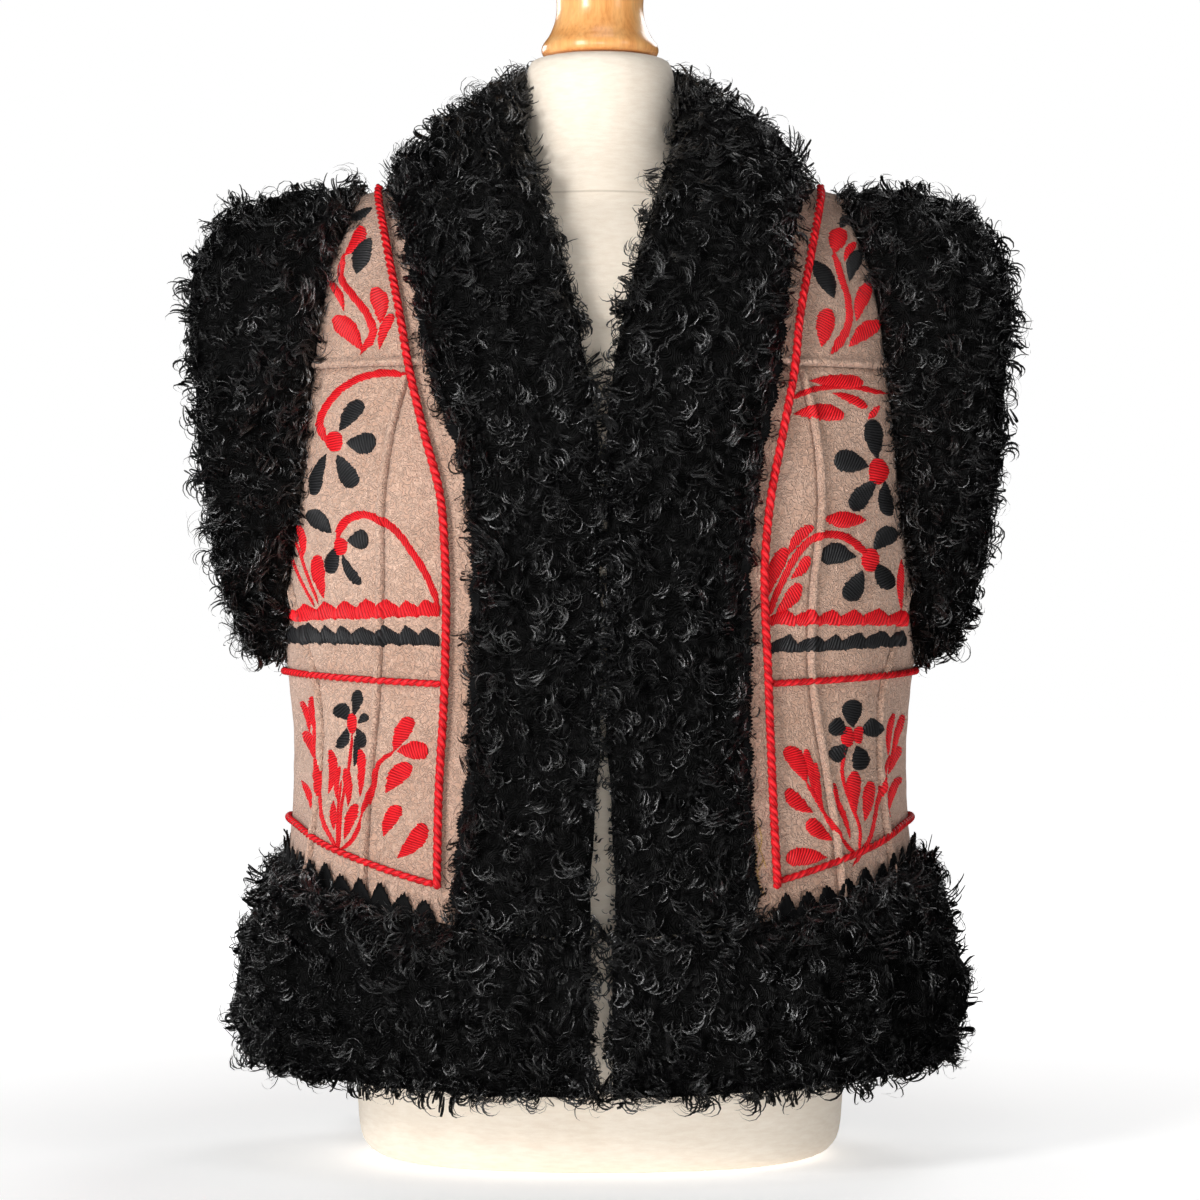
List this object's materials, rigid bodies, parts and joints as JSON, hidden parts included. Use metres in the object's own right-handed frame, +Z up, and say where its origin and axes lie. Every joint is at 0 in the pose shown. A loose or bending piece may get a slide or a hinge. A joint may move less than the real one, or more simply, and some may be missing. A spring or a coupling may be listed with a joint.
{
  "type": "embroidered folk vest on a dress form",
  "caption": "Open sleeveless suede vest with curled black lambskin collar, armhole and hem bands, displayed on a limbless dress form that stands on its flat base.",
  "frame": {"origin": "centre of the dress form's flat base, on the neck's axis", "axes": "+Z up along the neck's axis, -Y towards the front of the vest, +X towards the viewer's right"},
  "size_m": [0.5696, 0.3504, 0.838],
  "materials": {
    "suede": "napped suede",
    "lambskin": "tightly curled lamb fur",
    "red_cord": "twisted wool cord",
    "black_leather": "thin pinked leather",
    "form_cover": "stretched cream linen",
    "turned_wood": "varnished"
  },
  "bodies": {
    "root": {"form_body": "form_cover", "neck_cap": "turned_wood", "front_left": "suede", "front_right": "suede", "side_front_left": "suede", "side_front_right": "suede", "yoke_left": "suede", "yoke_right": "suede", "back_side_left": "suede", "back_side_right": "suede", "back_centre": "suede", "back_yoke": "suede", "band_left": "lambskin", "band_right": "lambskin", "collar_back": "lambskin", "armhole_left": "lambskin", "armhole_right": "lambskin", "hem_left": "lambskin", "hem_right": "lambskin", "hem_back": "lambskin", "border_left": "red_cord", "border_right": "red_cord", "waist_cord": "red_cord", "hem_cord": "red_cord", "band_edge_left": "black_leather", "band_edge_right": "black_leather", "hem_edge": "black_leather"}
  },
  "joints": []
}
